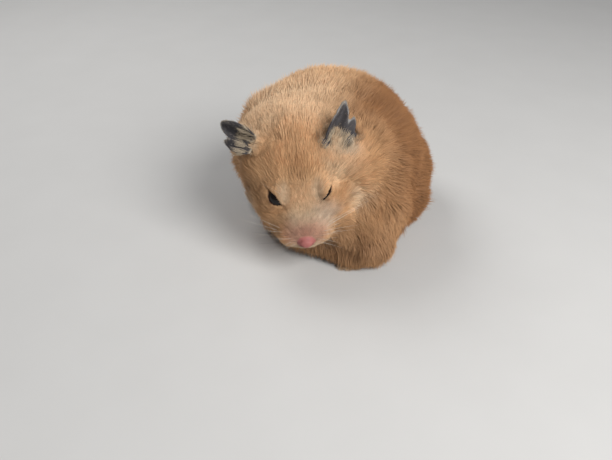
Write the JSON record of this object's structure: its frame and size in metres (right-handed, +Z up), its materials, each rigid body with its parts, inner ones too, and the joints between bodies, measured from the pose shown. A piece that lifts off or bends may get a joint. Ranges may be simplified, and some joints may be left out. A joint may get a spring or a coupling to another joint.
{
  "type": "syrian hamster model",
  "caption": "Life-size still model of a crouched golden Syrian hamster, head low and turned to its left, drowsy half-shut eyes, standing on flat soles.",
  "frame": {"origin": "bottom centre of the box round the animal, on the floor under its belly", "axes": "+Y from head to tail, +X towards the animal's left side, +Z up"},
  "size_m": [0.0754, 0.0994, 0.0609],
  "materials": {
    "golden": "short plush golden fur",
    "ear": "thin dark grey skin with fine down",
    "eye": "wet black",
    "skin": "bare pink skin"
  },
  "bodies": {
    "root": {"head": "golden", "neck": "golden", "trunk": "golden", "tail": "golden", "foreleg_left": "golden", "foreleg_right": "golden", "hindleg_left": "golden", "hindleg_right": "golden", "ear_left": "ear", "ear_right": "ear", "eye_left": "eye", "eye_right": "eye", "nose": "skin", "forepaw_left": "skin", "forepaw_right": "skin", "hindfoot_left": "skin", "hindfoot_right": "skin"}
  },
  "joints": []
}
